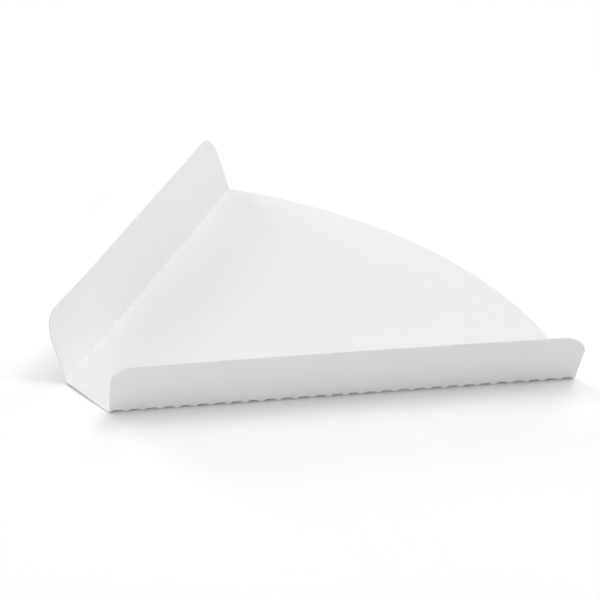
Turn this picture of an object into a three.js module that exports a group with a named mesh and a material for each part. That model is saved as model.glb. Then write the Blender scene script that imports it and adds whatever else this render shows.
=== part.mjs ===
// Open tray for one slice of pizza, cut and folded from a single sheet of white paperboard.
// A flat blank is laid out first, with its cut-and-crease fold lines, and is then folded up.
// Millimetres, +Z up. The tray stands on Z = 0, and +Y points from the narrow tip to the wide end.
import * as THREE from 'three';
import { mergeGeometries, mergeVertices } from 'three/addons/utils/BufferGeometryUtils.js';

// Sheet
const board = 0.45;              // thickness of the paperboard

// Base panel, a sector with its point cut off. The fold corners are where the base's upper face
// would meet a wall's inner face if the fold were sharp, and the two of them meet at the sector's point.
const sliceRadius = 200;         // from the sector's point to the curved end
const sliceAngle = 61.8;         // degrees between the two fold corners
const tipDistance = 25.5;        // from the sector's point to the cut-off tip, along a fold corner

// Side walls, folded up by hand, one a little steeper than the other
const wallHeight = 25.8;         // up a wall's inner face, from the fold corner to its top edge
const rightLean = 22.8;          // degrees that the +X wall leans outward from upright
const leftLean = 18.3;           // degrees that the -X wall leans outward from upright
const tipCornerReach = 8.3;      // from a wall's sharp top corner at the tip to the start of its round one
const tipCornerRadius = 8.4;     // of that round corner
const wideCornerReach = 8.6;     // the same two sizes at the curved end, where the round corner is flatter
const wideCornerRadius = 10;
const tipNotch = 0.4;            // how far a wall's foot stands back from the base at the tip
const tipEndSlant = 0.1;         // how far a wall's top stands back from its foot at the tip
const wideEndFlare = 1;          // how far a wall's top runs on past its foot at the curved end

// Folds: each fold line is a row of cuts through the board, with creased bridges between them
const rightFoldRadius = 3;       // inside radius of the bend in a bridge of the +X wall
const leftFoldRadius = 1.4;      // the same for the -X wall, which is creased more sharply
const cutPitch = 6.22;           // from the centre of one cut to the next
const cutLength = 3.1;           // length of one cut
const firstCut = 0.5;            // from the tip to the centre of the first cut, which runs out at the tip
const cutWidth = 0.08;           // width of a cut in the flat sheet
const rampShare = 0.22;          // share of a cut's length over which its lips spring from bent to straight

// Fineness of the faceted shape
const arcSteps = 36;             // steps of the curved end
const cornerSteps = 10;          // steps of each round corner
const bendSteps = 3;             // steps of half a bend, from a panel to the line of cuts
const smallestStep = 0.3;        // a column of the mesh stands at least this far from the sheet's edge

const halfAngle = THREE.MathUtils.degToRad(sliceAngle / 2);
const baseCentre = (tipDistance * Math.cos(halfAngle) + sliceRadius) / 2;

// One fold with its wall. The side is 1 towards +X and -1 towards -X. Lengths across the fold are
// measured in the flat sheet from the line where the bend starts. The cuts run along the fold corner,
// which lies in the middle of the bend, so that the two lips of a cut just meet inside the tray.
function makeFold(side, lean, radius) {
  const angle = THREE.MathUtils.degToRad(90 - lean);
  const corner = radius * Math.tan(angle / 2);
  return {
    radius,
    angle,
    corner,
    bendLength: 2 * corner,
    wallTop: corner + wallHeight,
    along: new THREE.Vector2(side * Math.sin(halfAngle), Math.cos(halfAngle)),
    across: new THREE.Vector2(side * Math.cos(halfAngle), -Math.sin(halfAngle)),
  };
}

const rightFold = makeFold(1, rightLean, rightFoldRadius);
const leftFold = makeFold(-1, leftLean, leftFoldRadius);

// A point of the flat sheet: s runs along the fold from the sector's point, and d runs across it
// from the line where the bend starts. The sheet's own origin is the sector's point.
function flatPoint(fold, s, d) {
  const along = fold.along.clone().multiplyScalar(s);
  return along.addScaledVector(fold.across, d - fold.corner);
}

// How far up a wall the distance d across its fold lies: 0 at the fold corner, 1 at the top edge.
function shareOfWall(fold, d) {
  return (d - fold.corner) / wallHeight;
}

// Where the sheet ends at the tip: square to the middle line as far as the cuts, and beyond them a
// slanted line that starts a little further back.
function tipEdge(fold, d) {
  if (d < fold.corner) {
    return tipDistance + (d - fold.corner) * Math.tan(halfAngle);
  }
  return tipDistance + tipNotch + tipEndSlant * shareOfWall(fold, d);
}

// Where the sheet ends at the wide end: the sector's arc on the base, a flared line on a wall.
function wideEdge(fold, d) {
  const pastCorner = d - fold.corner;
  if (pastCorner < 0) {
    return Math.sqrt(sliceRadius ** 2 - pastCorner ** 2);
  }
  return sliceRadius + wideEndFlare * shareOfWall(fold, d);
}

function cutCentres() {
  const centres = [];
  for (let s = tipDistance + firstCut; s - cutLength / 2 < sliceRadius; s += cutPitch) {
    centres.push(s);
  }
  return centres;
}

// How far a cut's lips stand free of the bend at s: 0 in a bridge, 1 along the middle of a cut and
// all the way from the first cut to the tip.
function lipFreedom(s) {
  const centres = cutCentres();
  const distances = centres.map((centre) => Math.abs(Math.max(s, centres[0]) - centre));
  const insideCut = cutLength / 2 - Math.min(...distances);
  return THREE.MathUtils.clamp(insideCut / (cutLength * rampShare), 0, 1);
}

// Places along a fold where the mesh has a column: both ends of each cut and of its straight lips.
function innerStations() {
  const ramp = cutLength * rampShare;
  const reach = cutLength / 2;
  const stations = cutCentres().flatMap((centre) => [
    centre - reach, centre - reach + ramp, centre + reach - ramp, centre + reach,
  ]);
  const first = tipDistance + tipNotch + smallestStep;
  return stations.filter((s) => s > first && s < sliceRadius - smallestStep);
}

// The points of one line along the fold, at the distance d across it, from the tip to the wide end.
// The gap moves the line aside where a cut stands open.
function foldRow(fold, d, gap = 0) {
  const stations = [tipEdge(fold, d + gap), ...innerStations(), wideEdge(fold, d + gap)];
  return stations.map((s) => flatPoint(fold, s, d + gap * lipFreedom(s)));
}

// Half a bend in the flat sheet, from the line at "from" to the line of cuts.
function bendStrip(fold, from, gap) {
  const columns = innerStations().length + 2;
  const strip = new THREE.PlaneGeometry(1, 1, columns - 1, bendSteps);
  const position = strip.getAttribute('position');
  for (let row = 0; row <= bendSteps; row += 1) {
    const d = THREE.MathUtils.lerp(from, fold.corner, row / bendSteps);
    const points = foldRow(fold, d, row === bendSteps ? gap : 0);
    points.forEach((point, column) => position.setXY(row * columns + column, point.x, point.y));
  }
  return strip;
}

// The points of a round corner that cuts off the sharp one where two straight edges meet. The arc
// starts and ends at the reach from the sharp corner.
function roundCorner(corner, before, after, reach, radius) {
  const [start, end] = [before, after].map((other) => {
    const edge = other.clone().sub(corner).normalize();
    return corner.clone().addScaledVector(edge, reach);
  });
  const middle = start.clone().lerp(end, 0.5);
  const inward = middle.clone().sub(corner).normalize();
  const depth = Math.sqrt(radius ** 2 - start.distanceToSquared(middle));
  const centre = middle.addScaledVector(inward, depth);
  const first = start.sub(centre);
  const last = end.sub(centre);
  const clockwise = first.cross(last) < 0;
  const arc = new THREE.ArcCurve(centre.x, centre.y, radius, first.angle(), last.angle(), clockwise);
  return arc.getPoints(cornerSteps);
}

// A flat strip of triangles between two rows of points that run the same way. At each step the
// row whose next point lies nearer to the other row's last one moves on.
function stripBetween(first, second) {
  const faces = [];
  let i = 0;
  let j = 0;
  while (i < first.length - 1 || j < second.length - 1) {
    const canFirst = i < first.length - 1;
    const canSecond = j < second.length - 1;
    const reachFirst = canFirst ? first[i + 1].distanceTo(second[j]) : Infinity;
    const reachSecond = canSecond ? second[j + 1].distanceTo(first[i]) : Infinity;
    if (reachFirst <= reachSecond) {
      faces.push(i, i + 1, first.length + j);
      i += 1;
    } else {
      faces.push(i, first.length + j + 1, first.length + j);
      j += 1;
    }
  }
  const strip = new THREE.BufferGeometry().setFromPoints([...first, ...second]);
  strip.setIndex(faces);
  return strip;
}

function wallPanel(fold) {
  const foot = foldRow(fold, fold.bendLength);
  const wideFoot = foot[foot.length - 1];
  const wideTop = flatPoint(fold, wideEdge(fold, fold.wallTop), fold.wallTop);
  const tipTop = flatPoint(fold, tipEdge(fold, fold.wallTop), fold.wallTop);
  const outline = [
    ...roundCorner(tipTop, foot[0], wideTop, tipCornerReach, tipCornerRadius),
    ...roundCorner(wideTop, tipTop, wideFoot, wideCornerReach, wideCornerRadius),
  ];
  return stripBetween(foot, outline);
}

// The base between its two folds, as far as the chord of its curved end.
function basePanel() {
  return stripBetween(foldRow(rightFold, 0), foldRow(leftFold, 0));
}

// The rest of the base, between that chord and the arc.
function wideEnd() {
  const start = foldRow(rightFold, 0).pop();
  const end = foldRow(leftFold, 0).pop();
  const arc = new THREE.ArcCurve(0, 0, sliceRadius, start.angle(), end.angle(), false);
  return new THREE.ShapeGeometry(new THREE.Shape([start, ...arc.getPoints(arcSteps).slice(1, -1), end]));
}

// The whole blank as one flat mesh, with every cut as a narrow hole in it.
function flatBlank() {
  const pieces = [basePanel(), wideEnd()];
  for (const fold of [rightFold, leftFold]) {
    pieces.push(bendStrip(fold, 0, -cutWidth / 2));
    pieces.push(bendStrip(fold, fold.bendLength, cutWidth / 2));
    pieces.push(wallPanel(fold));
  }
  for (const piece of pieces) {
    piece.deleteAttribute('normal');
    piece.deleteAttribute('uv');
  }
  return mergeVertices(mergeGeometries(pieces));
}

// The folded place of a point of the sheet, height w above its lower face. The section across the
// fold has x outward from the line where the bend starts and y up.
function sectionOfBend(fold, d, w) {
  const angle = THREE.MathUtils.clamp(d / fold.bendLength, 0, 1) * fold.angle;
  const radius = fold.radius + board - w;
  const beyond = Math.max(d - fold.bendLength, 0);
  return new THREE.Vector2(
    radius * Math.sin(angle) + beyond * Math.cos(fold.angle) + Math.min(d, 0),
    fold.radius + board - radius * Math.cos(angle) + beyond * Math.sin(fold.angle),
  );
}

// The same point if the lips of a cut ran straight on from the base and from the wall.
function sectionOfLip(fold, d, w) {
  if (d < fold.corner) {
    return new THREE.Vector2(d, w);
  }
  const upWall = new THREE.Vector2(Math.cos(fold.angle), Math.sin(fold.angle));
  return sectionOfBend(fold, fold.bendLength, w).addScaledVector(upWall, d - fold.bendLength);
}

function foldedPoint(x, y, w) {
  const fold = x < 0 ? leftFold : rightFold;
  const flat = new THREE.Vector2(x, y);
  const s = flat.dot(fold.along);
  const d = flat.dot(fold.across) + fold.corner;
  const inBend = d > 0 && d < fold.bendLength;
  const freedom = inBend ? lipFreedom(s) : 0;
  const section = sectionOfBend(fold, d, w).lerp(sectionOfLip(fold, d, w), freedom);
  const place = flatPoint(fold, s, section.x);
  return new THREE.Vector3(place.x, place.y - baseCentre, section.y);
}

// Triangles of the flat mesh, each one turned to run counter-clockwise seen from above.
function flatTriangles(flat) {
  const position = flat.getAttribute('position');
  const index = flat.getIndex();
  const corners = [0, 1, 2].map(() => new THREE.Vector2());
  const triangles = [];
  for (let first = 0; first < index.count; first += 3) {
    const triangle = [0, 1, 2].map((step) => index.getX(first + step));
    triangle.forEach((vertex, step) => corners[step].fromBufferAttribute(position, vertex));
    const clockwise = THREE.ShapeUtils.isClockWise(corners);
    triangles.push(clockwise ? triangle.reverse() : triangle);
  }
  return triangles;
}

// Directed edges that only one triangle has: the sheet's outline and the lips of its cuts.
function freeEdges(triangles) {
  const edges = new Map();
  for (const triangle of triangles) {
    triangle.forEach((start, step) => {
      const end = triangle[(step + 1) % 3];
      edges.set(`${start} ${end}`, [start, end]);
    });
  }
  return [...edges.values()].filter(([start, end]) => !edges.has(`${end} ${start}`));
}

// The folded sheet as a closed body: an upper face, a lower face and the cut edge all round.
function foldedSheet() {
  const flat = flatBlank();
  const position = flat.getAttribute('position');
  const count = position.count;
  const vertices = [];
  for (const w of [board, 0]) {
    for (let vertex = 0; vertex < count; vertex += 1) {
      vertices.push(...foldedPoint(position.getX(vertex), position.getY(vertex), w).toArray());
    }
  }
  const triangles = flatTriangles(flat);
  const faces = [];
  for (const [a, b, c] of triangles) {
    faces.push(a, b, c);
    faces.push(c + count, b + count, a + count);
  }
  for (const [start, end] of freeEdges(triangles)) {
    faces.push(start + count, end + count, end);
    faces.push(start + count, end, start);
  }
  const sheet = new THREE.BufferGeometry();
  sheet.setAttribute('position', new THREE.Float32BufferAttribute(vertices, 3));
  sheet.setIndex(faces);
  sheet.computeVertexNormals();
  return sheet;
}

const whiteBoard = new THREE.MeshStandardMaterial({ color: 0xf1f1f0, roughness: 0.62, metalness: 0 });

const tray = new THREE.Mesh(foldedSheet(), whiteBoard);
tray.name = 'slice_tray';

const group = new THREE.Group();
group.add(tray);

export default group;
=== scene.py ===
import math

import bpy
from bpy.props import FloatProperty, FloatVectorProperty, PointerProperty
from mathutils import Matrix, Vector


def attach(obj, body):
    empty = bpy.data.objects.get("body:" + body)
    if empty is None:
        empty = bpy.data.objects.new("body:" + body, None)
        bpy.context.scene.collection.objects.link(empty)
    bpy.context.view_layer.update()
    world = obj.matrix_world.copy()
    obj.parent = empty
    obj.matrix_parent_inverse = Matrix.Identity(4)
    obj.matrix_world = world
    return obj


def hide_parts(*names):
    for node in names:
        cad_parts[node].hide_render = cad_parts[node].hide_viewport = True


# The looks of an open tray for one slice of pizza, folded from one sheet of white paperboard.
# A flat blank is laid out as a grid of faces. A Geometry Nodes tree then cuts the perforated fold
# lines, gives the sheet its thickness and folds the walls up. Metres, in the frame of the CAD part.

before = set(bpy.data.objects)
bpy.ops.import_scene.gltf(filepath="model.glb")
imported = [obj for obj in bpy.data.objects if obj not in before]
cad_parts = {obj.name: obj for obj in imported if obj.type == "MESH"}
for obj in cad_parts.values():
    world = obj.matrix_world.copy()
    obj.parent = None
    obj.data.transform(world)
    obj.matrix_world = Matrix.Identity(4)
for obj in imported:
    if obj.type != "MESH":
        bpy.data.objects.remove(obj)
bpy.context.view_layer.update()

bl_info = {
    "name": "Pizza Slice Tray",
    "version": (1, 0, 0),
    "blender": (4, 5, 0),
    "location": "View3D > Sidebar > Slice Tray",
    "description": "Folds an open slice tray from a paperboard blank and lights it",
    "category": "Object",
}

MILLIMETRE = 0.001
NODE = "slice_tray"


def length(name, description, default):
    return FloatProperty(
        name=name, description=description, default=default * MILLIMETRE,
        unit="LENGTH", subtype="DISTANCE", precision=5,
    )


def angle(name, description, degrees):
    return FloatProperty(
        name=name, description=description, default=math.radians(degrees),
        unit="ROTATION", subtype="ANGLE",
    )


def share(name, description, default):
    return FloatProperty(
        name=name, description=description, default=default, min=0, soft_max=1, subtype="FACTOR",
    )


def colour(name, description, default):
    return FloatVectorProperty(
        name=name, description=description, default=default, size=3, min=0, max=1, subtype="COLOR",
    )


class TraySheet(bpy.types.PropertyGroup):
    """The outline of the folded sheet"""

    board: length("Board", "Thickness of the paperboard", 0.45)
    slice_radius: length("Slice radius", "From the sector's point to the curved end", 200)
    slice_angle: angle("Slice angle", "Between the two fold corners", 61.8)
    tip_distance: length("Tip distance", "From the sector's point to the cut-off tip", 25.5)
    wall_height: length("Wall height", "Up a wall's inner face, from fold corner to top", 25.8)
    tip_reach: length("Tip corner reach", "From a wall's sharp corner at the tip to its round one", 8.3)
    tip_corner: length("Tip corner radius", "Radius of that round corner", 8.4)
    wide_reach: length("Wide corner reach", "The same reach at the curved end", 8.6)
    wide_corner: length("Wide corner radius", "Radius of the flatter corner there", 10)
    tip_notch: length("Tip notch", "How far a wall's foot stands back from the base at the tip", 0.4)
    tip_slant: length("Tip slant", "How far a wall's top stands back from its foot", 0.1)
    wide_flare: length("Wide flare", "How far a wall's top runs on at the curved end", 1)


class TrayFolds(bpy.types.PropertyGroup):
    """The cut-and-crease folds and how the board stands in them"""

    right_radius: length("Right radius", "Inside radius of a creased bridge of the +X wall", 3)
    left_radius: length("Left radius", "The same for the more sharply creased -X wall", 1.4)
    right_lean: angle("Right lean", "How far the +X wall leans outward", 22.8)
    right_twist: angle("Right twist", "Extra lean at the curved end, less at the tip", 0.587)
    right_bow: angle("Right bow", "Extra lean at both ends, less in the middle", 1.306)
    left_lean: angle("Left lean", "How far the -X wall leans outward", 18.3)
    left_twist: angle("Left twist", "Extra lean at the curved end, less at the tip", 1.376)
    left_bow: angle("Left bow", "Extra lean at both ends, less in the middle", 0.294)
    cut_pitch: length("Cut pitch", "From the centre of one cut to the next", 6.22)
    cut_length: length("Cut length", "Length of one cut", 3.1)
    first_cut: length("First cut", "From the tip to the centre of the first cut", 0.5)
    cut_width: length("Cut width", "Width of a cut in the flat sheet", 0.08)
    ramp: share("Ramp", "Share of a cut over which its lips spring straight", 0.22)
    tip_lift: length("Tip lift", "How far the tip's left corner is curled up", 0.7)
    tip_curl: length("Tip curl", "How far from the tip that curl begins", 24)


class BoardFinish(bpy.types.PropertyGroup):
    """The white coated board"""

    face: colour("Face", "Colour of the coated faces", (0.832, 0.828, 0.831))
    core: colour("Core", "Colour of the fibre seen at a cut edge", (0.78, 0.77, 0.745))
    roughness: share("Roughness", "Roughness of the coating", 0.55)
    mottle: share("Mottle", "Strength of the cloudy variation in the coating", 0.025)
    fibre: length("Fibre", "Height of the fibre texture under the coating", 0.012)


class TrayStage(bpy.types.PropertyGroup):
    """The floor, the lights and the camera"""

    floor: colour("Floor", "Colour of the floor as it lights the tray", (0.84, 0.84, 0.84))
    floor_seen: colour("Seen floor", "Colour of the floor as the camera sees it", (1, 1, 1))
    sky: FloatProperty(name="Sky", description="Strength of the even light all round", default=0)
    lamps: FloatProperty(name="Lamps", description="Strength of all the lamps together", default=1)
    azimuth: angle("Azimuth", "Where the camera stands, from -Y towards +X", 49.196)
    elevation: angle("Elevation", "How high the camera stands", 28.655)
    roll: angle("Roll", "How far the camera is turned about its own axis", 0.968)
    distance: length("Distance", "From the target to the camera", 935.656)
    lens: FloatProperty(
        name="Lens", description="Focal length on a sensor 36 mm wide", default=142.23, unit="CAMERA",
    )
    target: FloatVectorProperty(
        name="Target", description="The point in the middle of the picture",
        default=(-0.008044, 0.02021, 0), size=3, subtype="TRANSLATION", unit="LENGTH",
    )


class Value:
    """A socket of a node tree. Arithmetic on it adds Math nodes."""

    def __init__(self, tree, socket):
        self.tree = tree
        self.socket = socket

    def maths(self, operation, *others):
        return self.tree.add("ShaderNodeMath", {"operation": operation}, *[self, *others])

    def __add__(self, other):
        return self.maths("ADD", other)

    def __sub__(self, other):
        return self.maths("SUBTRACT", other)

    def __mul__(self, other):
        return self.maths("MULTIPLY", other)

    def __truediv__(self, other):
        return self.maths("DIVIDE", other)

    def __rsub__(self, other):
        return self.tree.add("ShaderNodeMath", {"operation": "SUBTRACT"}, other, self)

    def __lt__(self, other):
        return self.maths("LESS_THAN", other)

    def __gt__(self, other):
        return self.maths("GREATER_THAN", other)

    def __abs__(self):
        return self.maths("ABSOLUTE")

    def clamped(self):
        return self.maths("MAXIMUM", 0).maths("MINIMUM", 1)

    def smooth(self):
        """The same value from 0 to 1, with a soft start and end."""
        return self * self * (3 - self * 2)

    def towards(self, other, factor):
        return self + (other - self) * factor

    __radd__ = __add__
    __rmul__ = __mul__


NODE_WIDTH = 180
NODE_HEIGHT = 220
NODES_IN_A_ROW = 24


class Tree:
    """Adds nodes to a shader or geometry tree, laid out in rows from left to right."""

    def __init__(self, tree):
        self.tree = tree

    def add(self, kind, settings=None, *values, **named):
        """Adds a node: its settings, then the values or links of its sockets in order or by name.
        Returns its first output, or the node itself where it has none."""
        node = self.tree.nodes.new(kind)
        row, column = divmod(len(self.tree.nodes), NODES_IN_A_ROW)
        node.location = (NODE_WIDTH * column, -NODE_HEIGHT * row)
        for name, value in (settings or {}).items():
            setattr(node, name, value)
        for place, value in [*enumerate(values), *named.items()]:
            self.put(node, place, value)
        outputs = [socket for socket in node.outputs if socket.enabled]
        return Value(self, outputs[0]) if outputs else node

    def put(self, node, place, value):
        """Sets or links one input of a node, given by its place or its name."""
        if isinstance(place, str):
            wanted = place.replace("_", " ")
            socket = next(s for s in node.inputs if s.enabled and s.name == wanted)
        else:
            socket = [s for s in node.inputs if s.enabled][place]
        if isinstance(value, Value):
            self.tree.links.new(value.socket, socket)
        elif value is not None:
            socket.default_value = value

    def other(self, value, name):
        """Another output of the node that a value comes from."""
        return Value(self, next(s for s in value.socket.node.outputs if s.enabled and s.name == name))


def mesh_object(name, mesh):
    made = bpy.data.objects.new(name, mesh)
    bpy.context.scene.collection.objects.link(made)
    return made


# The blank

# How many columns of faces it has along each stretch of a fold, and how many rows across the sheet
COLUMNS_OF_A_RAMP = 3
COLUMNS_OF_A_CUT = 4
COLUMNS_OF_A_BRIDGE = 4
ROWS_OF_A_BEND = 16
ROWS_OF_A_WALL = 5
ROWS_OF_A_CORNER = 9
ROWS_OF_THE_BASE = 20

CORNER_REACH = 0.036    # how far along a wall its columns close up to follow a round corner
NEAREST_COLUMN = 0.0003    # no column comes nearer than this to the sheet's ends


def spread(start, end, steps):
    """Evenly spaced numbers from start to just before end."""
    return [start + (end - start) * step / steps for step in range(steps)]


def smoothstep(value):
    value = min(max(value, 0), 1)
    return value * value * (3 - 2 * value)


class Fold:
    """One fold of the flat blank with its wall. side is 1 towards +X and -1 towards -X, and corner
    is the distance from the bend's start to the line of cuts."""

    def __init__(self, sheet, folds, side):
        self.sheet = sheet
        self.side = side
        lean = folds.right_lean if side > 0 else folds.left_lean
        radius = folds.right_radius if side > 0 else folds.left_radius
        self.corner = radius * math.tan((math.pi / 2 - lean) / 2)
        self.top = self.corner + sheet.wall_height

    def place(self, s, d):
        """The point s along the fold from the sector's point and d across it, from the bend's start."""
        half = self.sheet.slice_angle / 2
        across = d - self.corner
        x = s * math.sin(half) + across * math.cos(half)
        y = s * math.cos(half) - across * math.sin(half)
        return Vector((self.side * x, y, 0))

    def rows(self):
        """Distances across the fold of the blank's rows, from the bend's start to the wall's top."""
        shoulder = self.top - self.sheet.tip_reach
        turns = spread(0, math.pi / 2, ROWS_OF_A_CORNER)
        return [
            *spread(0, 2 * self.corner, ROWS_OF_A_BEND),
            *spread(2 * self.corner, shoulder, ROWS_OF_A_WALL),
            *[shoulder + self.sheet.tip_reach * math.sin(turn) for turn in turns],
            self.top,
        ]

    def corner_cut(self, d, reach, radius):
        """How far a round top corner draws the sheet's end in, at the distance d. The arc runs
        over reach both ways, so a radius longer than that gives a flatter corner."""
        rise = d - (self.top - reach)
        if rise <= 0:
            return 0
        centre = reach / 2 + math.sqrt(radius ** 2 - reach ** 2 / 2) / math.sqrt(2)
        return centre - math.sqrt(radius ** 2 - (rise - reach + centre) ** 2)

    def ends(self, d):
        """Where the sheet starts and ends along the fold, at the distance d."""
        sheet = self.sheet
        past = d - self.corner
        if past <= 0:
            start = sheet.tip_distance + past * math.tan(sheet.slice_angle / 2)
            return start, math.sqrt(sheet.slice_radius ** 2 - past ** 2)
        rise = past / sheet.wall_height
        start = sheet.tip_distance + sheet.tip_notch + sheet.tip_slant * rise
        end = sheet.slice_radius + sheet.wide_flare * rise
        start += self.corner_cut(d, sheet.tip_reach, sheet.tip_corner)
        return start, end - self.corner_cut(d, sheet.wide_reach, sheet.wide_corner)

    def row(self, stations, d):
        """The blank's points on one line along the fold."""
        first, last = stations[0], stations[-1]
        start, end = self.ends(d)
        points = []
        for s in stations:
            near_tip = 1 - smoothstep((s - first) / CORNER_REACH)
            near_end = 1 - smoothstep((last - s) / CORNER_REACH)
            points.append(self.place(s + (start - first) * near_tip + (end - last) * near_end, d))
        return points


def stations_along(sheet, folds):
    """Places along a fold where the blank has a column: over each cut, its ramps and each bridge."""
    reach = folds.cut_length / 2
    flat = reach - folds.cut_length * folds.ramp
    centre = sheet.tip_distance + folds.first_cut - folds.cut_pitch
    found = []
    while centre - reach < sheet.slice_radius:
        found += spread(centre - reach, centre - flat, COLUMNS_OF_A_RAMP)
        found += spread(centre - flat, centre + flat, COLUMNS_OF_A_CUT)
        found += spread(centre + flat, centre + reach, COLUMNS_OF_A_RAMP)
        found += spread(centre + reach, centre + folds.cut_pitch - reach, COLUMNS_OF_A_BRIDGE)
        centre += folds.cut_pitch
    low = sheet.tip_distance + NEAREST_COLUMN
    high = sheet.slice_radius - NEAREST_COLUMN
    return [sheet.tip_distance, *[s for s in found if low < s < high], sheet.slice_radius]


def base_row(sheet, left, right, share_across):
    """The blank's points on one line over the base, between the starts of the two bends. They
    are drawn out lengthwise, so that the last of them lies on the curved end."""
    points = [start.lerp(end, share_across) for start, end in zip(left, right)]
    first, last = points[0].copy(), points[-1].copy()
    bulge = math.sqrt(sheet.slice_radius ** 2 - last.x ** 2) - last.y
    for point in points:
        point.y += bulge * (point.y - first.y) / (last.y - first.y)
    return points


def flat_blank(sheet, folds):
    """The flat sheet as one grid of faces, from the top of the left wall to that of the right one."""
    stations = stations_along(sheet, folds)
    left, right = Fold(sheet, folds, -1), Fold(sheet, folds, 1)
    left_rows = [left.row(stations, d) for d in left.rows()]
    right_rows = [right.row(stations, d) for d in right.rows()]
    base_rows = [
        base_row(sheet, left_rows[0], right_rows[0], step / ROWS_OF_THE_BASE)
        for step in range(1, ROWS_OF_THE_BASE)
    ]
    rows = [*reversed(left_rows), *base_rows, *right_rows]
    points = [point for row in rows for point in row]
    count = len(stations)
    faces = [
        (first, first + count, first + count + 1, first + 1)
        for row in range(len(rows) - 1)
        for first in range(row * count, row * count + count - 1)
    ]
    blank = bpy.data.meshes.new("flat_blank")
    blank.from_pydata(points, [], faces)
    blank.update()
    return blank


# The folding tree

LENGTH_INPUTS = [
    "Board", "Slice radius", "Tip distance", "Right radius", "Left radius", "Cut pitch", "Cut length",
    "First cut", "Cut width", "Tip notch", "Tip lift", "Tip curl",
]
ANGLE_INPUTS = [
    "Slice angle", "Right lean", "Right twist", "Right bow", "Left lean", "Left twist", "Left bow",
]
ON_THE_LINE = 0.00001    # a point this near to the line of cuts lies on it
WELD = 0.000002    # points nearer than this are one


def folding_tree():
    """A Geometry Nodes tree that perforates, thickens and folds the flat blank."""
    group = bpy.data.node_groups.new("Cut and fold", "GeometryNodeTree")
    add_input(group, "Blank", "NodeSocketGeometry")
    for name in LENGTH_INPUTS:
        add_input(group, name, "NodeSocketFloat", "DISTANCE")
    for name in ANGLE_INPUTS:
        add_input(group, name, "NodeSocketFloat", "ANGLE")
    add_input(group, "Ramp", "NodeSocketFloat", "FACTOR")
    add_input(group, "Faces", "NodeSocketMaterial")
    add_input(group, "Edges", "NodeSocketMaterial")
    group.interface.new_socket("Tray", in_out="OUTPUT", socket_type="NodeSocketGeometry")
    tree = Tree(group)
    entry = tree.add("NodeGroupInput")
    given = {socket.name: Value(tree, socket) for socket in entry.socket.node.outputs}
    rule = FoldRule(tree, given)
    cut = open_cuts(tree, rule, given["Blank"])
    thick, is_edge = thicken(tree, given["Board"], cut)
    marked = mark_board(tree, rule, thick)
    folded = tree.add("GeometryNodeSetPosition", None, marked, Position=rule.folded())
    smooth = tree.add("GeometryNodeSetShadeSmooth", None, folded)
    real = tree.add("GeometryNodeRealizeInstances", None, smooth)
    faced = tree.add("GeometryNodeSetMaterial", None, real, Material=given["Faces"])
    edged = tree.add("GeometryNodeSetMaterial", None, faced, is_edge, given["Edges"])
    tree.add("NodeGroupOutput", None, edged)
    return group


def add_input(group, name, kind, subtype=None):
    socket = group.interface.new_socket(name, in_out="INPUT", socket_type=kind)
    if subtype:
        socket.subtype = subtype


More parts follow.
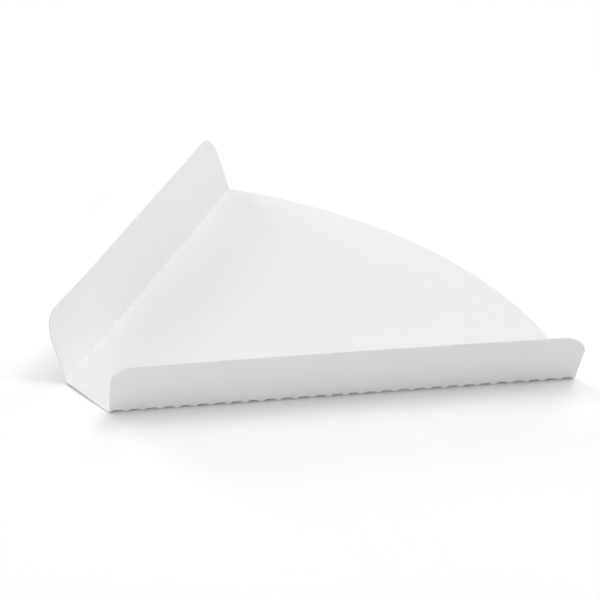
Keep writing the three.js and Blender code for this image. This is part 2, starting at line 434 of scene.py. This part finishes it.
class FoldRule:
    """Fields over the flat blank that say where each of its points goes. s and d are those of
    Fold.place, and outer is the radius of the bend's outer face."""

    def __init__(self, tree, given):
        self.tree = tree
        self.given = given
        place = tree.add("GeometryNodeInputPosition")
        x = tree.add("ShaderNodeSeparateXYZ", None, place)
        self.y = tree.other(x, "Y")
        self.height = tree.other(x, "Z")
        self.x = x
        self.is_left = x < 0
        half = given["Slice angle"] / 2
        self.sine, self.cosine = half.maths("SINE"), half.maths("COSINE")
        bend = math.pi / 2 - self.of_side("lean")
        self.corner = self.of_side("radius") * (bend / 2).maths("TANGENT")
        self.s = abs(x) * self.sine + self.y * self.cosine
        self.d = abs(x) * self.cosine - self.y * self.sine + self.corner
        self.angle = bend - self.extra_lean()
        self.outer = given["Board"] + self.corner / (self.angle / 2).maths("TANGENT")
        self.past_line = self.d > self.corner

    def of_side(self, name):
        """The right or the left wall's own value, at each point."""
        return self.given["Right " + name].towards(self.given["Left " + name], self.is_left)

    def extra_lean(self):
        """How much more the wall leans here than on average, from its twist and bow."""
        middle = (self.given["Tip distance"] + self.given["Slice radius"]) / 2
        reach = (self.given["Slice radius"] - self.given["Tip distance"]) / 2
        along = (self.s - middle) / reach
        return self.of_side("twist") * along + self.of_side("bow") * (along * along - 1 / 3)

    def freedom(self):
        """How far a cut's lips stand free of the bend: 0 in a bridge, 1 along the middle of a cut
        and all the way from the first cut to the tip."""
        pitch = self.given["Cut pitch"]
        first = self.given["Tip distance"] + self.given["First cut"]
        turns = ((self.s - first) / pitch).maths("MAXIMUM", 0)
        off_centre = abs(turns - turns.maths("ROUND")) * pitch
        cut = self.given["Cut length"]
        inside = (cut / 2 - off_centre) / (cut * self.given["Ramp"])
        in_bend = (self.d > 0) * (self.d < self.corner * 2)
        return inside.clamped().smooth() * in_bend

    def bent(self):
        """The section across a bridge: outward from the bend's start, and up."""
        angle = self.angle
        turned = (self.d / (self.corner * 2)).clamped() * angle
        arm = self.outer - self.height
        beyond = (self.d - self.corner * 2).maths("MAXIMUM", 0)
        within = self.d.maths("MINIMUM", 0)
        out = arm * turned.maths("SINE") + beyond * angle.maths("COSINE") + within
        up = self.outer - arm * turned.maths("COSINE") + beyond * angle.maths("SINE")
        return out, up

    def straight(self):
        """The same section across a cut, where the base and the wall run straight on to the cut."""
        angle = self.angle
        arm = self.outer - self.height
        back = self.d - self.corner * 2
        out = arm * angle.maths("SINE") + back * angle.maths("COSINE")
        up = self.outer - arm * angle.maths("COSINE") + back * angle.maths("SINE")
        return self.d.towards(out, self.past_line), self.height.towards(up, self.past_line)

    def curl(self):
        """How far the sheet is curled up off the table, near the left corner of the tip."""
        tip = self.given["Tip distance"] * self.cosine
        near = (1 - (self.y - tip) / self.given["Tip curl"]).clamped()
        half_width = self.given["Tip distance"] * self.sine
        leftward = (0.5 - self.x / (half_width * 2)).clamped().smooth()
        return self.given["Tip lift"] * near * near * leftward

    def folded(self):
        """Where a point of the flat blank goes, with the part's origin under the middle of the base."""
        free = self.freedom()
        (bent_out, bent_up), (lip_out, lip_up) = self.bent(), self.straight()
        across = bent_out.towards(lip_out, free) - self.corner
        up = bent_up.towards(lip_up, free) + self.curl()
        x = self.s * self.sine + across * self.cosine
        y = self.s * self.cosine - across * self.sine
        base_centre = (self.given["Tip distance"] * self.cosine + self.given["Slice radius"]) / 2
        return self.tree.add(
            "ShaderNodeCombineXYZ", None, x * (1 - self.is_left * 2), y - base_centre, up,
        )


def open_cuts(tree, rule, blank):
    """Splits the blank along each cut and draws the two lips a little apart."""
    off_line = abs(rule.d - rule.corner)
    on_line = off_line < ON_THE_LINE
    free = rule.freedom()
    split = tree.add("GeometryNodeSplitEdges", None, blank, on_line * (free > 0))
    whose = tree.add("GeometryNodeFieldOnDomain", {"domain": "FACE"}, rule.past_line)
    apart = (whose - 0.5) * on_line * free * rule.given["Cut width"]
    outward = apart * (1 - rule.is_left * 2)
    at_tip = rule.s < rule.given["Tip distance"] + rule.given["Tip notch"] / 2
    onward = whose * on_line * at_tip * rule.given["Tip notch"]
    aside = tree.add(
        "ShaderNodeCombineXYZ", None,
        outward * rule.cosine + onward * rule.sine * (1 - rule.is_left * 2),
        onward * rule.cosine - apart * rule.sine, 0,
    )
    return tree.add("GeometryNodeSetPosition", None, split, Offset=aside)


def thicken(tree, board, sheet):
    """Gives the flat sheet its upper face and its cut edges, and turns the old face downward."""
    up = tree.add("ShaderNodeCombineXYZ", None, 0, 0, board)
    raised = tree.add(
        "GeometryNodeExtrudeMesh", {"mode": "FACES"}, sheet, Offset=up, Offset_Scale=1, Individual=False,
    )
    is_edge = tree.other(raised, "Side")
    under = tree.add("GeometryNodeFlipFaces", None, sheet)
    joined = tree.add("GeometryNodeJoinGeometry", None, raised)
    tree.put(joined.socket.node, 0, under)    # the same input takes both
    welded = tree.add("GeometryNodeMergeByDistance", None, joined, Distance=WELD)
    return welded, is_edge


def mark_board(tree, rule, sheet):
    """Stores what the materials read: the depth in the board, and how sharply it is creased."""
    depth = rule.height / rule.given["Board"]
    from_line = abs(rule.d - rule.corner) / rule.corner
    crease = (1 - from_line).clamped() * (1 - rule.freedom())
    for name, value in [("depth", depth), ("crease", crease)]:
        sheet = tree.add("GeometryNodeStoreNamedAttribute", None, sheet, Name=name, Value=value)
    return sheet


# The board's materials

def new_material(name):
    material = bpy.data.materials.new(name)
    material.use_nodes = True
    material.node_tree.nodes.clear()
    return material, Tree(material.node_tree)


NOISE_ROUGHNESS = 0.6
MIDDLE = 0.5    # the value that noise varies around, and the depth halfway through the board


def own_place(tree):
    """The object's own coordinates."""
    return tree.other(tree.add("ShaderNodeTexCoord"), "Object")


def noise(tree, features, detail, stretch=(1, 1, 1)):
    """Cloudy values around the middle, with so many features a metre."""
    mapped = tree.add("ShaderNodeMapping", None, own_place(tree), Scale=stretch)
    return tree.add(
        "ShaderNodeTexNoise", None, mapped, Scale=features, Detail=detail, Roughness=NOISE_ROUGHNESS,
    )


def attribute(tree, name):
    found = tree.add("ShaderNodeAttribute", {"attribute_name": name})
    return tree.other(found, "Fac")


def blend_colours(tree, first, second, factor):
    settings = {"data_type": "RGBA", "blend_type": "MIX"}
    return tree.add("ShaderNodeMix", settings, factor, (*first, 1), (*second, 1))


BOARD_IOR = 1.45
SHEEN = 0.15    # an open clay coating shines far less than a smooth surface would


def finish_board(tree, colours, roughness, height, relief):
    """Ends a board material in its shader, with the relief given in metres."""
    bump = tree.add("ShaderNodeBump", None, Strength=1, Distance=relief, Height=height)
    shader = tree.add(
        "ShaderNodeBsdfPrincipled", None, Base_Color=colours, Roughness=roughness, Normal=bump,
        IOR=BOARD_IOR, Specular_IOR_Level=SHEEN,
    )
    tree.add("ShaderNodeOutputMaterial", None, shader)


# Features a metre of each texture. A scale under 1 draws them out along that axis.
CLOUDS = 95
GRAINS = 900
GRAIN_SCALE = (1, 0.55, 1)
FIBRES = 3200
FIBRE_SCALE = (1, 0.4, 1)
CRACKS = 5200
EDGE_FIBRES = 2600
EDGE_FIBRE_SCALE = (1, 1, 2.5)

# What each texture adds to the shade, the roughness and the relief of a coated face
CLOUD_SHADE = 4
GRAIN_SHADE = 1.5
CRACK_SHADE = 0.12
DARKEST = 0.86    # the darkest shade's share of the face's colour
GRAIN_ROUGHNESS = 0.12
CREASE_ROUGHNESS = 0.08
GRAIN_RELIEF = 0.7
FIBRE_RELIEF = 0.5
CRACK_RELIEF = 1.5


def face_material(finish):
    """White clay coating: faintly cloudy, with fibre showing through and fine cracks in the creases."""
    material, tree = new_material("white_coated_board")
    cloud = noise(tree, CLOUDS, detail=3)
    grain = noise(tree, GRAINS, detail=4, stretch=GRAIN_SCALE)
    fibre = noise(tree, FIBRES, detail=2, stretch=FIBRE_SCALE)
    crease = attribute(tree, "crease")
    crack = (noise(tree, CRACKS, detail=2) - MIDDLE).clamped() * crease
    clouded = (cloud - MIDDLE) * finish.mottle * CLOUD_SHADE
    grained = (grain - MIDDLE) * finish.mottle * GRAIN_SHADE
    shade = clouded + grained + crack * CRACK_SHADE
    darker = [channel * DARKEST for channel in finish.face]
    colours = blend_colours(tree, finish.face, darker, (shade + finish.mottle).clamped())
    rougher = (grain - MIDDLE) * GRAIN_ROUGHNESS
    roughness = (finish.roughness + rougher + crease * CREASE_ROUGHNESS).clamped()
    height = grain * GRAIN_RELIEF + fibre * FIBRE_RELIEF - crack * CRACK_RELIEF
    finish_board(tree, colours, roughness, height, finish.fibre)
    return material


# The layers and the texture of a cut edge
COATING = 1 / 6    # the share of the board's thickness over which each coat passes into fibre
LEAST_FIBRE = 0.55    # how much of the fibre's colour shows between its strands
FIBRE_CONTRAST = 0.8
EDGE_ROUGHNESS = 0.72
EDGE_ROUGHNESS_CONTRAST = 0.3
EDGE_RELIEF = 2    # times the fibre's height on a face


def edge_material(finish):
    """The die-cut edge: bare fibre in the middle of the board between two thin white coats."""
    material, tree = new_material("cut_board_edge")
    depth = attribute(tree, "depth")
    inside = ((MIDDLE - abs(depth - MIDDLE)) / COATING).clamped()
    fibre = noise(tree, EDGE_FIBRES, detail=3, stretch=EDGE_FIBRE_SCALE)
    bare = (inside * (LEAST_FIBRE + fibre * FIBRE_CONTRAST)).clamped()
    colours = blend_colours(tree, finish.face, finish.core, bare)
    roughness = (EDGE_ROUGHNESS + (fibre - MIDDLE) * EDGE_ROUGHNESS_CONTRAST).clamped()
    finish_board(tree, colours, roughness, fibre, finish.fibre * EDGE_RELIEF)
    return material


# The stage

FLOOR_HALF = 1.0    # it ends inside the ring of lamps
FLOOR_GAP = 0.0001    # the floor lies this far under the tray
FADE_START = 0.16    # from the tray's middle. From here on, the floor passes into plain white.
FADE_END = 0.36
LAMP_DISTANCE = 1.4
# Each lamp's name, degrees round from the camera and up from the floor, size and power in watts
LAMPS = [
    ("left_lamp", 270, 40, 0.9, 2.45),
    ("low_back_left_lamp", 225, 20, 0.7, 7.1),
    ("low_front_left_lamp", 315, 20, 0.7, 3.2),
    ("low_front_lamp", 0, 8, 0.34, 4.3),
    ("low_right_lamp", 90, 20, 0.7, 5.6),
    ("right_lamp", 90, 60, 0.9, 2.9),
    ("back_right_lamp", 150, 40, 0.9, 4.4),
    ("top_lamp", 0, 89, 1.6, 10.6),
]


def seen_rays(tree):
    """1 for what the camera sees, directly or in gloss or glass, and 0 for what lights the tray."""
    direct = tree.add("ShaderNodeLightPath")
    glossy, clear = tree.other(direct, "Is Glossy Ray"), tree.other(direct, "Is Transmission Ray")
    return (direct + glossy + clear).clamped()


def floor_material(stage):
    """A pale floor that keeps the tray's shadow. Where it is only looked at, it is paler, and it
    passes into plain white farther out."""
    material, tree = new_material("pale_floor")
    seen = seen_rays(tree)
    shade = blend_colours(tree, stage.floor, stage.floor_seen, seen)
    matte = tree.add("ShaderNodeBsdfDiffuse", None, Color=shade)
    white = tree.add("ShaderNodeEmission", None, Color=(1, 1, 1, 1), Strength=1)
    distance = tree.add("ShaderNodeVectorMath", {"operation": "LENGTH"}, own_place(tree))
    far = ((distance - FADE_START) / (FADE_END - FADE_START)).clamped().smooth()
    floor = tree.add("ShaderNodeMixShader", None, far * seen, matte, white)
    tree.add("ShaderNodeOutputMaterial", None, floor)
    return material


def add_floor(stage):
    mesh = bpy.data.meshes.new("floor")
    half = FLOOR_HALF
    corners = [(-half, -half), (half, -half), (half, half), (-half, half)]
    mesh.from_pydata([(x, y, -FLOOR_GAP) for x, y in corners], [], [(0, 1, 2, 3)])
    floor = mesh_object("floor", mesh)
    floor.data.materials.append(floor_material(stage))


def add_world(stage):
    """A sky that is white to look at, and lights the tray only as much as the stage says."""
    world = bpy.data.worlds.new("even_sky")
    bpy.context.scene.world = world
    world.use_nodes = True
    world.node_tree.nodes.clear()
    tree = Tree(world.node_tree)
    strength = stage.sky + (1 - stage.sky) * seen_rays(tree)
    light = tree.add("ShaderNodeBackground", None, Color=(1, 1, 1, 1), Strength=strength)
    tree.add("ShaderNodeOutputWorld", None, light)


def direction(azimuth, elevation):
    """The direction from the tray to a point, with the azimuth from -Y towards +X."""
    level = math.cos(elevation)
    return Vector((math.sin(azimuth) * level, -math.cos(azimuth) * level, math.sin(elevation)))


def add_lamps(stage):
    """Round soft lamps that all point at the tray, placed by their angle from the camera's side."""
    for name, turn, elevation, size, power in LAMPS:
        data = bpy.data.lights.new(name, "AREA")
        data.shape = "DISK"
        data.size = size
        data.energy = power * stage.lamps
        lamp = bpy.data.objects.new(name, data)
        back = direction(stage.azimuth + math.radians(turn), math.radians(elevation))
        lamp.location = back * LAMP_DISTANCE
        lamp.rotation_euler = back.to_track_quat("Z", "Y").to_euler()
        bpy.context.scene.collection.objects.link(lamp)


SENSOR_WIDTH = 36    # in millimetres
NEAREST_SEEN = 0.01    # from the camera


def add_camera(stage):
    """A camera that looks at the target from the photograph's viewing angle."""
    back = direction(stage.azimuth, stage.elevation)
    right = Vector((0, 0, 1)).cross(back).normalized()
    turn = Matrix.Rotation(stage.roll, 3, back)
    right = turn @ right
    up = back.cross(right)
    camera = bpy.data.objects.new("camera", bpy.data.cameras.new("camera"))
    bpy.context.scene.collection.objects.link(camera)
    camera.data.lens = stage.lens
    camera.data.sensor_width = SENSOR_WIDTH
    camera.data.clip_start = NEAREST_SEEN
    facing = Matrix((right, up, back)).transposed().to_4x4()
    camera.matrix_world = Matrix.Translation(Vector(stage.target) + back * stage.distance) @ facing
    bpy.context.scene.camera = camera


# The operators

SHARP = math.radians(40)    # faces that meet more steeply than this keep a sharp edge


class TRAY_OT_fold_tray(bpy.types.Operator):
    """Cut, thicken and fold the flat blank into the slice tray"""

    bl_idname = "slice_tray.fold_tray"
    bl_label = "Fold the tray"

    def execute(self, context):
        sheet, folds = context.scene.tray_sheet, context.scene.tray_folds
        finish = context.scene.board_finish
        blank = mesh_object("flat_blank", flat_blank(sheet, folds))
        modifier = blank.modifiers.new("Cut and fold", "NODES")
        modifier.node_group = folding_tree()
        for socket in modifier.node_group.interface.items_tree:
            if socket.in_out == "INPUT" and socket.name != "Blank":
                modifier[socket.identifier] = self.value_of(socket.name, sheet, folds, finish)
        evaluated = blank.evaluated_get(context.evaluated_depsgraph_get())
        mesh = bpy.data.meshes.new_from_object(evaluated)
        mesh.name = "folded_board"
        bpy.data.objects.remove(blank)
        if not mesh.polygons:
            raise RuntimeError("the folding tree made no faces")
        mesh.set_sharp_from_angle(angle=SHARP)
        tray = mesh_object("folded_board", mesh)
        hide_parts(NODE)
        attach(tray, "root")
        return {"FINISHED"}

    def value_of(self, name, sheet, folds, finish):
        """The property that a named input of the folding tree takes."""
        if name == "Faces":
            return face_material(finish)
        if name == "Edges":
            return edge_material(finish)
        key = name.lower().replace(" ", "_")
        return getattr(folds, key) if hasattr(folds, key) else getattr(sheet, key)


class TRAY_OT_set_stage(bpy.types.Operator):
    """Add the pale floor, the soft lights and the camera"""

    bl_idname = "slice_tray.set_stage"
    bl_label = "Set the stage"

    def execute(self, context):
        stage = context.scene.tray_stage
        context.scene.view_settings.view_transform = "Standard"
        add_floor(stage)
        add_world(stage)
        add_lamps(stage)
        add_camera(stage)
        return {"FINISHED"}


class TRAY_PT_panel(bpy.types.Panel):
    """Sizes, finishes and operators of the slice tray"""

    bl_label = "Slice Tray"
    bl_space_type = "VIEW_3D"
    bl_region_type = "UI"
    bl_category = "Slice Tray"

    def draw(self, context):
        for operator in OPERATORS:
            self.layout.operator(operator.bl_idname)
        for key in SETTINGS:
            settings = getattr(context.scene, key)
            box = self.layout.box()
            for name in settings.__annotations__:
                box.prop(settings, name)


SETTINGS = {
    "tray_sheet": TraySheet,
    "tray_folds": TrayFolds,
    "board_finish": BoardFinish,
    "tray_stage": TrayStage,
}
OPERATORS = [TRAY_OT_fold_tray, TRAY_OT_set_stage]
CLASSES = [*SETTINGS.values(), *OPERATORS, TRAY_PT_panel]


def register():
    for made in CLASSES:
        bpy.utils.register_class(made)
    for key, group in SETTINGS.items():
        setattr(bpy.types.Scene, key, PointerProperty(type=group))


def unregister():
    for key in SETTINGS:
        delattr(bpy.types.Scene, key)
    for made in reversed(CLASSES):
        bpy.utils.unregister_class(made)


def main():
    register()
    bpy.ops.slice_tray.fold_tray()
    bpy.ops.slice_tray.set_stage()


if __name__ == "__main__":
    main()
